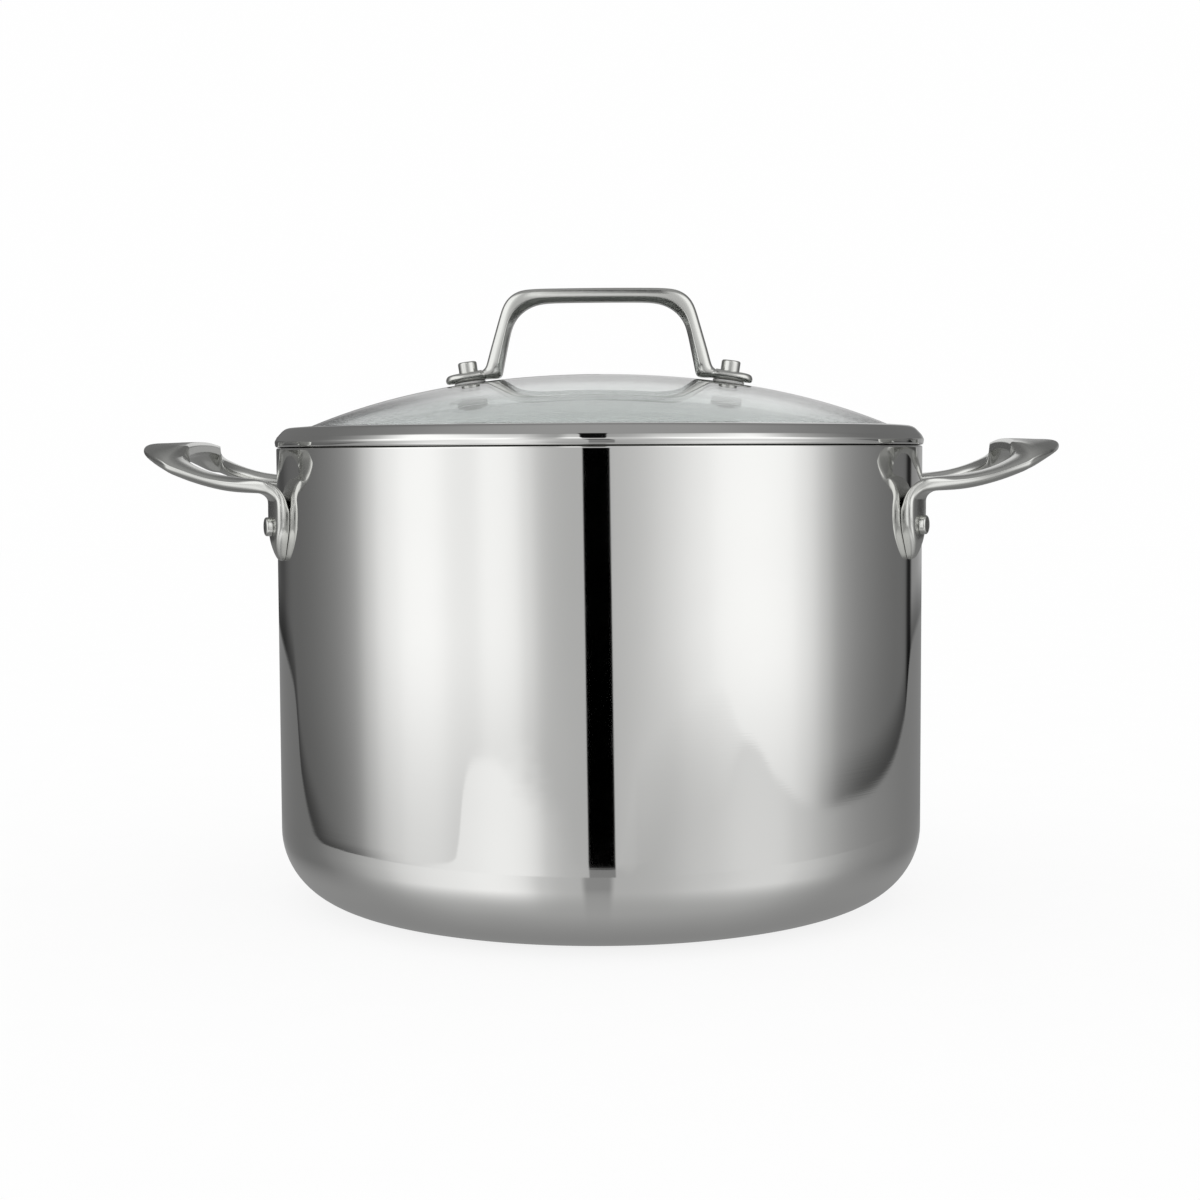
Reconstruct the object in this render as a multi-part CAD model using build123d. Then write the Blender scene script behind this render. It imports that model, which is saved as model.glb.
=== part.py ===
from build123d import *
import math
import os

# Stock pot with a glass lid.  Millimetres, +Z up.  The origin is the centre of the flat base,
# and the two side handles stand out along +X and -X.

# Pot: three bonded layers of sheet, the same total thickness in the wall and in the base.
POT_RADIUS = 122.5
POT_HEIGHT = 170.6
POT_CORNER = 27.0
OUTER_SKIN = 0.5
CORE = 1.6
INNER_SKIN = 0.4
WALL = OUTER_SKIN + CORE + INNER_SKIN

# Side handle: heights are measured from the pot's rim, radii from the pot's axis.
FOOT_ANGLE = 22.4
FOOT_HALF_WIDTH = 10.0
FOOT_THICKNESS = 4.7
FOOT_TAPER_START = -26.5
FOOT_SIDE_ROUND = 4.0
FOOT_THINNING_START = -33.0
FOOT_TIP = -41.0
FOOT_TIP_ROUND = 2.4
FOOT_TIP_THICKNESS = 1.8
BEND_START = -20.9
BEND_INSIDE = 4.4
BEND_BACK = 9.7
ARM_UNDERSIDE = -16.3
ARM_TOP = -11.1
UNDERSIDE_SWEEP = 61.0
UNDERSIDE_TURN = 150.4
TOP_SWEEP = 37.8
TOP_TURN = 146.0
WING_INSIDE = 156.3
WING_INSIDE_LOW = -3.2
WING_END = 169.9
PLATE_TOP = 2.7
PLATE_UNDERSIDE = -2.4
PLATE_LIMIT = 182.0
ARM_INNER_Y = 36.5
ARM_OUTER_Y = 47.0
ARM_ROOT = 110.0
ARM_WAIST_X = 138.0
ARM_WAIST_ROUND = 25.0
GAP_TURN_X = 144.0
GAP_TURN_ROUND = 14.0
GAP_END_X = 152.5
GAP_END_Y = 25.0
GAP_CORNER_ROUND = 5.0
PLATE_OUTER_X = 173.6
PLATE_OUTER_TURN_Y = 20.0
PLATE_OUTER_ROUND = 85.0
WING_CORNER_X = 160.8
WING_CORNER_ROUND = 9.0
CROWN_RADIUS = 320.0
UNDERCUT_HALF_WIDTH = 33.0

# Side handle rivet.
SIDE_RIVET_Z = -28.5
SIDE_RIVET_SHANK = 4.8
SIDE_RIVET_HEAD = 6.9
SIDE_RIVET_HEAD_HEIGHT = 2.3
SIDE_RIVET_ROUND = 0.8
INNER_HEAD_DIAMETER = 12.0
INNER_HEAD_HEIGHT = 1.7
INNER_HEAD_ROUND = 1.2

# Lid glass and rim band: heights are measured from the pot's rim.
DOME_TOP = 27.6
DOME_SQUARE = 13.34
DOME_QUARTIC = 2.4
DOME_SPANS = 6
GLASS_RADIUS = 118.0
GLASS_THICKNESS = 3.7
GLASS_BORE = 6.0
BAND_SHEET = 0.6
BAND_LIP = (111.4, 7.66)
BAND_SHOULDER = (119.0, 7.1)
BAND_WIDEST = (123.5, 3.1)
BAND_SEAT = (121.3, 0.3)
BAND_SKIRT_RADIUS = 118.5
BAND_SKIRT_END = -5.8
BAND_ROUNDS = [4.7, 1.7, 0.4, 0.4]

# Lid handle: one bent bar with a foot at each end.
GRIP_TOP = 60.5
GRIP_THICKNESS = 5.2
GRIP_WIDTH = 13.0
GRIP_EDGE_ROUND = 1.5
LEG_TOP_X = 34.3
LEG_ROOT_X = 43.3
LEG_THICKNESS = 6.2
LEG_INNER_LEAN = 0.22
SHOULDER_ROUND = 12.0
THROAT_ROUND = 14.0
FOOT_TIP_X = 58.8
FOOT_ROOT_Z = 29.9
FOOT_TIP_TOP = 27.2
FOOT_TIP_ROUND_TOP = 1.0
FOOT_TIP_ROUND_LOW = 0.5
INSTEP_ROUND = 2.5
HEEL_ROUND = 1.5

# Lid handle fastening: each stack stands square to the glass.
FASTENER_X = 49.4
UPPER_GASKET = 0.9
LOWER_GASKET = 0.8
GASKET_DIAMETER = 12.0
WASHER = 0.6
WASHER_DIAMETER = 12.0
LID_RIVET_SHANK = 4.0
LID_RIVET_HEAD = 7.2
LID_RIVET_HEAD_START = 4.0
LID_RIVET_TOP = 8.7
LID_RIVET_ROUND = 0.8
LOWER_HEAD_DIAMETER = 7.4
LOWER_HEAD_HEIGHT = 1.0
SEATING_GAP = 0.08

LOW = (Align.CENTER, Align.CENTER, Align.MIN)
SIDES = {"right": 1, "left": -1}
ENDS = {"front": -1, "back": 1}


def rounded_face(corners):
    """Closed outline from (x, y, corner radius) rows."""
    points = [(x, y) for x, y, _ in corners]
    radii = [radius for _, _, radius in corners]
    return make_face(FilletPolyline(*points, radius=radii, close=True))


def above_rim(shape):
    """Move a shape drawn from the pot's rim to its height over the base."""
    return Pos(0, 0, POT_HEIGHT) * shape


def vessel(inset):
    """Solid of the pot's outer shape, drawn in by inset on the side and the base."""
    body = Pos(0, 0, inset) * Cylinder(POT_RADIUS - inset, POT_HEIGHT - inset, align=LOW)
    return fillet(body.edges().sort_by(Axis.Z)[0], POT_CORNER - inset)


def radial_frame(angle, radius, z):
    """Frame beside the pot: local +Z points away from the pot's axis, local +Y is up."""
    turn = math.radians(angle)
    place = (radius * math.cos(turn), radius * math.sin(turn), z)
    outward = (math.cos(turn), math.sin(turn), 0)
    sideways = (-math.sin(turn), math.cos(turn), 0)
    return Plane(origin=place, x_dir=sideways, z_dir=outward).location


def rivet_bore(angle):
    """Round hole for one side handle rivet, from inside the pot to beyond the foot."""
    bore = Cylinder(SIDE_RIVET_SHANK / 2, 4 * WALL + FOOT_THICKNESS)
    return radial_frame(angle, POT_RADIUS, POT_HEIGHT + SIDE_RIVET_Z) * bore


def rivet_angles():
    """Angle of each side handle rivet around the pot, by name."""
    right = {end: FOOT_ANGLE * sign for end, sign in ENDS.items()}
    left = {end: 180 - FOOT_ANGLE * sign for end, sign in ENDS.items()}
    angles = {f"right_{end}": angle for end, angle in right.items()}
    angles.update({f"left_{end}": angle for end, angle in left.items()})
    return angles


def pot_layer(outer_inset, thickness):
    """One bonded sheet of the pot, bored for the side handle rivets."""
    layer = vessel(outer_inset) - vessel(outer_inset + thickness)
    for angle in rivet_angles().values():
        layer -= rivet_bore(angle)
    return layer


def side_rivet(angle):
    """Rivet through the wall and one foot, with its broad head inside the pot."""
    grip = WALL + FOOT_THICKNESS
    root = -INNER_HEAD_HEIGHT / 2
    shank = Pos(0, 0, root) * Cylinder(SIDE_RIVET_SHANK / 2, grip - root, align=LOW)
    head = Pos(0, 0, grip) * Cylinder(SIDE_RIVET_HEAD / 2, SIDE_RIVET_HEAD_HEIGHT, align=LOW)
    head = fillet(head.edges().sort_by(Axis.Z)[-1], SIDE_RIVET_ROUND)
    inner = Pos(0, 0, -INNER_HEAD_HEIGHT) * Cylinder(
        INNER_HEAD_DIAMETER / 2, INNER_HEAD_HEIGHT, align=LOW
    )
    inner = fillet(inner.edges().sort_by(Axis.Z)[0], INNER_HEAD_ROUND)
    frame = radial_frame(angle, POT_RADIUS - WALL, POT_HEIGHT + SIDE_RIVET_Z)
    return frame * (shank + head) + (frame * inner & vessel(WALL))


def arm_profile():
    """Radial section of a side handle above its feet: bend, arm and the deep outer wing."""
    wall = POT_RADIUS
    face = POT_RADIUS + FOOT_THICKNESS
    return rounded_face([
        (wall, BEND_START, 0),
        (face, BEND_START, 0),
        (face, ARM_UNDERSIDE, BEND_INSIDE),
        (UNDERSIDE_TURN, ARM_UNDERSIDE, UNDERSIDE_SWEEP),
        (WING_END, PLATE_UNDERSIDE, 0),
        (PLATE_LIMIT, PLATE_UNDERSIDE, 0),
        (PLATE_LIMIT, PLATE_TOP, 0),
        (WING_INSIDE, PLATE_TOP, 0),
        (WING_INSIDE, WING_INSIDE_LOW, 0),
        (TOP_TURN, ARM_TOP, TOP_SWEEP),
        (wall, ARM_TOP, BEND_BACK),
    ])


def plan_point(along, across):
    """Plan position measured out from the pot's axis through one foot, and across that line."""
    turn = math.radians(FOOT_ANGLE)
    x = along * math.cos(turn) - across * math.sin(turn)
    y = along * math.sin(turn) + across * math.cos(turn)
    return x, y


def half_plan():
    """Plan outline of one arm and half of the thumb plate, on the +Y side."""
    face = POT_RADIUS + FOOT_THICKNESS
    root_in = plan_point(ARM_ROOT, -FOOT_HALF_WIDTH)
    root_out = plan_point(ARM_ROOT, FOOT_HALF_WIDTH)
    foot_in = plan_point(face, -FOOT_HALF_WIDTH)
    foot_out = plan_point(face, FOOT_HALF_WIDTH)
    return rounded_face([
        (*root_in, 0),
        (*foot_in, 0),
        (GAP_TURN_X, ARM_INNER_Y, GAP_TURN_ROUND),
        (GAP_END_X, GAP_END_Y, GAP_CORNER_ROUND),
        (GAP_END_X, 0, 0),
        (PLATE_OUTER_X, 0, 0),
        (PLATE_OUTER_X, PLATE_OUTER_TURN_Y, PLATE_OUTER_ROUND),
        (WING_CORNER_X, ARM_OUTER_Y, WING_CORNER_ROUND),
        (ARM_WAIST_X, ARM_OUTER_Y, ARM_WAIST_ROUND),
        (*foot_out, 0),
        (*root_out, 0),
    ])


def foot():
    """Leaf-shaped foot on the +Y side, curved to lie against the wall and thinned to its tip."""
    face = POT_RADIUS + FOOT_THICKNESS
    section = rounded_face([
        (POT_RADIUS, BEND_START, 0),
        (face, BEND_START, 0),
        (face, FOOT_THINNING_START, 0),
        (POT_RADIUS + FOOT_TIP_THICKNESS, FOOT_TIP, 0),
        (POT_RADIUS, FOOT_TIP, 0),
    ])
    leaf = rounded_face([
        (-FOOT_HALF_WIDTH, BEND_START, 0),
        (FOOT_HALF_WIDTH, BEND_START, 0),
        (FOOT_HALF_WIDTH, FOOT_TAPER_START, FOOT_SIDE_ROUND),
        (0, FOOT_TIP, FOOT_TIP_ROUND),
        (-FOOT_HALF_WIDTH, FOOT_TAPER_START, FOOT_SIDE_ROUND),
    ])
    reach = radial_frame(FOOT_ANGLE, 0, 0)
    return revolve(Plane.XZ * section, Axis.Z, 360) & (reach * extrude(leaf, 2 * POT_RADIUS))


def side_handle():
    """Cast loop handle on the +X side: two feet, two arms and the thumb plate that joins them."""
    swept = revolve(Plane.XZ * arm_profile(), Axis.Z, 360)
    half = extrude(half_plan(), PLATE_TOP - BEND_START)
    plan = Pos(0, 0, BEND_START) * (half + mirror(half, Plane.XZ))
    handle = swept & plan
    plate_half = extrude(half_plan(), PLATE_TOP - PLATE_UNDERSIDE)
    plate = Pos(0, 0, PLATE_UNDERSIDE) * (plate_half + mirror(plate_half, Plane.XZ))
    middle = Box(PLATE_LIMIT, 2 * ARM_INNER_Y, 4 * PLATE_TOP,
                 align=(Align.MIN, Align.CENTER, Align.CENTER))
    plate &= Pos(GAP_END_X, 0, 0) * middle
    undercut = Box(PLATE_LIMIT, 2 * UNDERCUT_HALF_WIDTH, -ARM_UNDERSIDE,
                   align=(Align.MIN, Align.CENTER, Align.MAX))
    handle -= Pos(GAP_END_X, 0, PLATE_UNDERSIDE) * undercut
    handle += plate
    crown = Cylinder(CROWN_RADIUS, PLATE_LIMIT, rotation=(0, 90, 0),
                     align=(Align.CENTER, Align.CENTER, Align.MIN))
    handle &= Pos(0, 0, PLATE_TOP - CROWN_RADIUS) * crown
    handle += foot() + mirror(foot(), Plane.XZ)
    for sign in ENDS.values():
        handle -= Pos(0, 0, -POT_HEIGHT) * rivet_bore(sign * FOOT_ANGLE)
    return above_rim(handle)


def dome_z(radius):
    """Height of the glass's upper surface over the pot's rim."""
    share = radius / 100
    return DOME_TOP - DOME_SQUARE * share ** 2 - DOME_QUARTIC * share ** 4


def dome_slope(radius):
    """Angle, in degrees, by which the glass falls away at a radius."""
    share = radius / 100
    fall = (2 * DOME_SQUARE * share + 4 * DOME_QUARTIC * share ** 3) / 100
    return math.degrees(math.atan(fall))


def fastener_frame(side):
    """Frame on top of the glass under one foot of the lid handle, square to the glass."""
    place = Pos(side * FASTENER_X, 0, dome_z(FASTENER_X))
    return place * Rot(0, side * dome_slope(FASTENER_X), 0)


def disc(frame, diameter, low, high, bore=0.0):
    """Flat round piece between two heights of a frame, with an optional hole."""
    shape = Cylinder(diameter / 2, high - low, align=LOW)
    if bore > 0:
        shape -= Cylinder(bore / 2, high - low, align=LOW)
    return frame * Pos(0, 0, low) * shape


def lid_glass():
    """Domed tempered glass disc with two holes for the lid handle's rivets."""
    radii = [GLASS_RADIUS * step / DOME_SPANS for step in range(DOME_SPANS + 1)]
    upper = [(radius, dome_z(radius)) for radius in radii]
    lower = [(radius, z - GLASS_THICKNESS) for radius, z in upper]
    edges = [
        Spline(*upper, tangents=[(1, 0), upper_end_direction()]),
        Line(upper[-1], lower[-1]),
        Spline(*lower, tangents=[(1, 0), upper_end_direction()]),
        Line(lower[0], upper[0]),
    ]
    glass = revolve(Plane.XZ * make_face(edges), Axis.Z, 360)
    for side in SIDES.values():
        glass -= disc(fastener_frame(side), GLASS_BORE, -2 * GLASS_THICKNESS, GLASS_THICKNESS)
    return above_rim(glass)


def upper_end_direction():
    """Direction of the glass's surface at its edge."""
    fall = math.radians(dome_slope(GLASS_RADIUS))
    return math.cos(fall), -math.sin(fall)


def lid_rim_band():
    """Rolled sheet ring that holds the glass's edge, rests on the pot and reaches into it."""
    points = [
        BAND_LIP,
        BAND_SHOULDER,
        BAND_WIDEST,
        BAND_SEAT,
        (BAND_SKIRT_RADIUS, BAND_SEAT[1]),
        (BAND_SKIRT_RADIUS, BAND_SKIRT_END),
    ]
    path = FilletPolyline(*points, radius=BAND_ROUNDS)
    section = trace(path, BAND_SHEET)
    return above_rim(revolve(Plane.XZ * section, Axis.Z, 360))


def grip_profile():
    """Outline of half of the lid handle, seen along Y, on the +X side."""
    under = GRIP_TOP - GRIP_THICKNESS
    tilt = math.radians(dome_slope(FASTENER_X))
    sole = dome_z(FASTENER_X) + UPPER_GASKET / math.cos(tilt)
    heel_x = LEG_ROOT_X - LEG_THICKNESS
    heel_z = sole + math.tan(tilt) * (FASTENER_X - heel_x)
    tip_z = sole + math.tan(tilt) * (FASTENER_X - FOOT_TIP_X)
    return rounded_face([
        (0, GRIP_TOP, 0),
        (LEG_TOP_X, GRIP_TOP, SHOULDER_ROUND),
        (LEG_ROOT_X, FOOT_ROOT_Z, INSTEP_ROUND),
        (FOOT_TIP_X, FOOT_TIP_TOP, FOOT_TIP_ROUND_TOP),
        (FOOT_TIP_X, tip_z, FOOT_TIP_ROUND_LOW),
        (heel_x, heel_z, HEEL_ROUND),
        (heel_x - LEG_INNER_LEAN * (under - heel_z), under, THROAT_ROUND),
        (0, under, 0),
    ])


def lid_handle():
    """Bent bar over the middle of the lid, with a round-ended foot at each end."""
    half = extrude(Plane.XZ * grip_profile(), GRIP_WIDTH / 2, both=True)
    bar = half + mirror(half, Plane.YZ)
    by_depth = bar.faces().sort_by(Axis.Y)
    bar = fillet(by_depth[0].edges() + by_depth[-1].edges(), GRIP_EDGE_ROUND)
    ends = extrude(SlotOverall(2 * FOOT_TIP_X, GRIP_WIDTH), GRIP_TOP)
    handle = bar & ends
    for side in SIDES.values():
        handle -= disc(fastener_frame(side), LID_RIVET_SHANK, 0, LID_RIVET_TOP)
    return above_rim(handle)


def lid_rivet(side, handle):
    """Rivet from the top of a lid handle foot down to its head under the glass."""
    frame = fastener_frame(side)
    low = -GLASS_THICKNESS - SEATING_GAP - LOWER_GASKET - WASHER
    shape = Pos(0, 0, low) * Cylinder(LID_RIVET_SHANK / 2, LID_RIVET_TOP - low, align=LOW)
    head = Pos(0, 0, LID_RIVET_HEAD_START) * Cylinder(
        LID_RIVET_HEAD / 2, LID_RIVET_TOP - LID_RIVET_HEAD_START, align=LOW
    )
    head = fillet(head.edges().sort_by(Axis.Z)[-1], LID_RIVET_ROUND)
    lower = Pos(0, 0, low - LOWER_HEAD_HEIGHT) * Cylinder(
        LOWER_HEAD_DIAMETER / 2, LOWER_HEAD_HEIGHT, align=LOW
    )
    return above_rim(frame * (shape + head + lower)) - handle


def write(name, shape):
    """Write one piece as its own STEP file."""
    solids = shape.solids()
    piece = solids[0] if len(solids) == 1 else Compound(children=solids)
    export_step(piece, f"parts/{name}.step")
    print(name, len(solids), round(sum(s.volume for s in solids)), piece.is_valid)


def main():
    os.makedirs("parts", exist_ok=True)
    write("pot_outer_skin", pot_layer(0, OUTER_SKIN))
    write("pot_core", pot_layer(OUTER_SKIN, CORE))
    write("pot_inner_skin", pot_layer(OUTER_SKIN + CORE, INNER_SKIN))
    right_handle = side_handle()
    write("side_handle_right", right_handle)
    write("side_handle_left", mirror(right_handle, Plane.YZ))
    for name, angle in rivet_angles().items():
        write(f"side_rivet_{name}", side_rivet(angle))
    write("lid_glass", lid_glass())
    write("lid_rim_band", lid_rim_band())
    handle = lid_handle()
    write("lid_handle", handle)
    for name, side in SIDES.items():
        frame = Pos(0, 0, POT_HEIGHT) * fastener_frame(side)
        gasket_top = -GLASS_THICKNESS - SEATING_GAP
        washer_top = gasket_top - LOWER_GASKET
        write(f"upper_gasket_{name}",
              disc(frame, GASKET_DIAMETER, 0, UPPER_GASKET, LID_RIVET_SHANK))
        write(f"lower_gasket_{name}",
              disc(frame, GASKET_DIAMETER, washer_top, gasket_top, LID_RIVET_SHANK))
        write(f"lid_washer_{name}",
              disc(frame, WASHER_DIAMETER, washer_top - WASHER, washer_top, LID_RIVET_SHANK))
        write(f"lid_rivet_{name}", lid_rivet(side, handle))


main()
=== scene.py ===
import math

import bmesh
import bpy
from mathutils import Matrix, Vector


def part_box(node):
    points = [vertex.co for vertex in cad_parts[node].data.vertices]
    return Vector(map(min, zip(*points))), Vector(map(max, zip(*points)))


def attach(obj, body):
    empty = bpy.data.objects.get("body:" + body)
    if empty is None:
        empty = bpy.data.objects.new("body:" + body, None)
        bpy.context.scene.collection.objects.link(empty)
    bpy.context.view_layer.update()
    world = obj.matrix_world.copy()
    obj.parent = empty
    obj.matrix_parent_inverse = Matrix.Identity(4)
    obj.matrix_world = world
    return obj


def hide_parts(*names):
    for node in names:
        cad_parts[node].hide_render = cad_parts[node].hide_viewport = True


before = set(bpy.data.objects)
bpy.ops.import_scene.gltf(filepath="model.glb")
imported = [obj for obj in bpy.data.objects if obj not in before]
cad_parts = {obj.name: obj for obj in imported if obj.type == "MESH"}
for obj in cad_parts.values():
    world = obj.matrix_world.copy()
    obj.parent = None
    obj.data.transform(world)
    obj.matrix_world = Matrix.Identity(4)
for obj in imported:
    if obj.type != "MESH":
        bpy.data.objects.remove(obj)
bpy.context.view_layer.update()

MM = 0.001

# ---------------------------------------------------------------- sizes read from the frame
POT_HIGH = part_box("pot_outer_skin")[1]
RIM_Z = POT_HIGH.z
POT_R = POT_HIGH.x
CORE_LOW, CORE_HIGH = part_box("pot_core")
INNER_LOW, INNER_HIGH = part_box("pot_inner_skin")
GLASS_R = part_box("lid_glass")[1].x

# ---------------------------------------------------------------- shapes that the boxes don't give
POT_CORNER = 27.0 * MM
BASE_SHEET = 2.5 * MM
RIM_ROUND_OUTSIDE = 0.55 * MM
RIM_ROUND_INSIDE = 0.25 * MM
RIM_ROUND_SEAM = 0.04 * MM
RIM_ROUND_PLAIN = 0.1 * MM
LATHE_STEPS = 256
BASE_ROWS = 6
CORNER_ROWS = 20
WALL_ROWS = 22
BORER_STEPS = 32
PIN_STEPS = 48
RING_STEPS = 64

# Glass: height over the rim, as a sum of powers of the radius in units of 100 mm.
DOME_TOP = 27.6
DOME_SQUARE = 13.34
DOME_QUARTIC = 2.4
GLASS_SHEET = 3.7
GLASS_BORE = 6.0
GLASS_ROWS = 44
GLASS_EDGE = 0.5

# Rolled band: centre line of its sheet as (radius, height over the rim, corner round).
BAND_LINE = [
    (111.4, 7.66, 0), (119.0, 7.1, 4.6), (121.95, 3.9, 2.3), (122.8, 2.3, 1.0), (122.55, 0.7, 0.5),
    (121.3, 0.42, 0.3), (118.5, 0.34, 0.4), (118.5, -5.8, 0),
]
BAND_SHEET = 0.6

# Fasteners.  Heads are (diameter, height, edge round); bores are spans along the pin, in metres.
FOOT_ANGLE = 22.4
FOOT_FACE = 127.2
WALL_FACE = 122.5
WALL_INSIDE = 120.0
SIDE_RIVET_Z = -28.5
SIDE_RIVET_SHANK = 4.8
SIDE_INNER_HEAD = (12.0, 1.6, 1.2)
SIDE_INNER_REACH = 1.75
SIDE_OUTER_HEAD = (6.9, 2.25, 0.75)
WALL_BORE = (0.10, 0.14)
FOOT_BORE = (0.11, 0.135)
LID_FASTENER_X = 49.4
LID_RIVET_SHANK = 4.0
LID_LOWER_HEAD = (7.4, 0.95, 0.5)
LID_UPPER_HEAD = (7.2, 4.7, 0.8)
LID_RIVET_TOP = 8.65
GLASS_HOLE_SPAN = (-0.012, 0.01)
GRIP_BORE = (0.0, 0.02)
UPPER_GASKET = 0.9
LOWER_STACK = 3.78
LOWER_GASKET = 0.8
WASHER = 0.6
WASHER_SIZE = 12.0
GASKET_ROUND = 0.3
WASHER_ROUND = 0.2

# Edges sharper than these, in degrees, stay crisp on turned and on cast pieces.
SMOOTH_ANGLE = 38.0
CAST_SMOOTH_ANGLE = 60.0

SIDES = {"right": 1, "left": -1}
ENDS = {"front": -1, "back": 1}


# ---------------------------------------------------------------- mesh helpers
def new_object(name, vertices, faces, smooth_angle=SMOOTH_ANGLE):
    mesh = bpy.data.meshes.new(name)
    mesh.from_pydata([tuple(v) for v in vertices], [], faces)
    mesh.validate()
    work = bmesh.new()
    work.from_mesh(mesh)
    bmesh.ops.recalc_face_normals(work, faces=work.faces)
    work.to_mesh(mesh)
    work.free()
    mesh.shade_smooth()
    mesh.set_sharp_from_angle(angle=math.radians(smooth_angle))
    piece = bpy.data.objects.new(name, mesh)
    bpy.context.scene.collection.objects.link(piece)
    return piece


def apply_modifiers(piece, smooth_angle=SMOOTH_ANGLE):
    """Turn a piece with modifiers into its final mesh."""
    graph = bpy.context.evaluated_depsgraph_get()
    mesh = bpy.data.meshes.new_from_object(piece.evaluated_get(graph))
    piece.modifiers.clear()
    piece.data = mesh
    mesh.shade_smooth()
    mesh.set_sharp_from_angle(angle=math.radians(smooth_angle))


def arc(centre, radius, start, end, steps):
    """Points of an arc, angles in degrees."""
    points = []
    for step in range(steps + 1):
        turn = math.radians(start + (end - start) * step / steps)
        points.append((centre[0] + radius * math.cos(turn), centre[1] + radius * math.sin(turn)))
    return points


def rounded_line(corners, steps=10):
    """Open polyline through (x, y, corner round) rows with each corner turned into an arc."""
    points = []
    for index, (x, y, radius) in enumerate(corners):
        if radius == 0 or index in (0, len(corners) - 1):
            points.append((x, y))
            continue
        here = Vector((x, y))
        before = (Vector(corners[index - 1][:2]) - here).normalized()
        after = (Vector(corners[index + 1][:2]) - here).normalized()
        half = before.angle(after) / 2
        reach = radius / math.tan(half)
        centre = here + (before + after).normalized() * radius / math.sin(half)
        first = here + before * reach - centre
        last = here + after * reach - centre
        sweep = first.angle_signed(last)
        for step in range(steps + 1):
            spoke = first.copy()
            spoke.rotate(Matrix.Rotation(-sweep * step / steps, 2))
            points.append(tuple(centre + spoke))
    return points


def thicken(line, sheet):
    """Closed outline of a sheet that follows a line, half its thickness to each side."""
    left, right = [], []
    for index, point in enumerate(line):
        ahead = Vector(line[min(index + 1, len(line) - 1)])
        behind = Vector(line[max(index - 1, 0)])
        along = (ahead - behind).normalized()
        across = Vector((-along.y, along.x)) * sheet / 2
        left.append(tuple(Vector(point) + across))
        right.append(tuple(Vector(point) - across))
    start = end_round(left[0], right[0], -1)
    end = end_round(left[-1], right[-1], 1)
    return left + end + right[::-1] + start[::-1]


def end_round(a, b, sign):
    """Half-round end of a sheet between its two faces."""
    middle = (Vector(a) + Vector(b)) / 2
    spoke = Vector(a) - middle
    points = []
    for step in range(1, 4):
        turned = spoke.copy()
        turned.rotate(Matrix.Rotation(-sign * math.pi * step / 4, 2))
        points.append(tuple(middle + turned))
    return points


def lathe(name, outline, place=Matrix.Identity(4), steps=LATHE_STEPS, smooth_angle=SMOOTH_ANGLE):
    """Turn an outline of (radius, height) points about Z.  Points on the axis become single poles."""
    vertices, rows = [], []
    for radius, height in outline:
        if radius < 1e-7:
            rows.append([len(vertices)])
            vertices.append(place @ Vector((0, 0, height)))
            continue
        rows.append(list(range(len(vertices), len(vertices) + steps)))
        for step in range(steps):
            turn = 2 * math.pi * step / steps
            vertices.append(place @ Vector((radius * math.cos(turn), radius * math.sin(turn), height)))
    on_axis = len(rows[0]) == 1
    pairs = list(zip(rows, rows[1:])) + ([] if on_axis else [(rows[-1], rows[0])])
    faces = []
    for low, high in pairs:
        for step in range(steps):
            ahead = (step + 1) % steps
            if len(low) == 1 and len(high) == 1:
                break
            if len(low) == 1:
                faces.append((low[0], high[ahead], high[step]))
            elif len(high) == 1:
                faces.append((low[step], low[ahead], high[0]))
            else:
                faces.append((low[step], low[ahead], high[ahead], high[step]))
    return new_object(name, vertices, faces, smooth_angle)


def rod(place, radius, low, high):
    """Plain cylinder used only to bore holes."""
    return lathe("borer", [(0, low), (radius, low), (radius, high), (0, high)], place, BORER_STEPS)


def bore(piece, rods, smooth_angle=SMOOTH_ANGLE):
    """Cut round holes through a piece."""
    for cutter in rods:
        cut = piece.modifiers.new("bore", "BOOLEAN")
        cut.object = cutter
        cut.operation = "DIFFERENCE"
        cut.solver = "EXACT"
    apply_modifiers(piece, smooth_angle)
    for cutter in rods:
        bpy.data.objects.remove(cutter)


def loft(name, rings, levels, creases):
    """Closed subdivided skin through rings of equal size; both ends are closed with ladders of quads."""
    size = len(rings[0])
    vertices = [point for ring in rings for point in ring]
    faces = []
    for row in range(len(rings) - 1):
        for step in range(size):
            ahead = (step + 1) % size
            faces.append((row * size + step, row * size + ahead,
                          (row + 1) * size + ahead, (row + 1) * size + step))
    for start in (0, (len(rings) - 1) * size):
        for step in range(size // 2 - 1):
            faces.append((start + step, start + step + 1,
                          start + size - 2 - step, start + size - 1 - step))
    piece = new_object(name, vertices, faces)
    crease_edges(piece, size, len(rings) // 2, creases)
    smooth = piece.modifiers.new("smooth", "SUBSURF")
    smooth.levels = levels
    smooth.render_levels = levels
    apply_modifiers(piece, CAST_SMOOTH_ANGLE)
    return piece


def crease_edges(piece, size, half, creases):
    """Crease the edges that lie in a range of stations, counted from the middle, and of ring places."""
    layer = piece.data.attributes.new("crease_edge", "FLOAT", "EDGE")
    for edge in piece.data.edges:
        rows = [vertex // size for vertex in edge.vertices]
        stations = [row - half if row >= half else half - 1 - row for row in rows]
        places = [vertex % size for vertex in edge.vertices]
        for stations_in, places_in, value in creases:
            if all(stations_in[0] <= station <= stations_in[1] for station in stations) \
                    and all(places_in[0] <= place <= places_in[1] for place in places):
                layer.data[edge.index].value = value


def mm(x, y, z):
    """Vector in metres from millimetres measured from the axis and from the rim."""
    return Vector((x * MM, y * MM, RIM_Z + z * MM))


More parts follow.
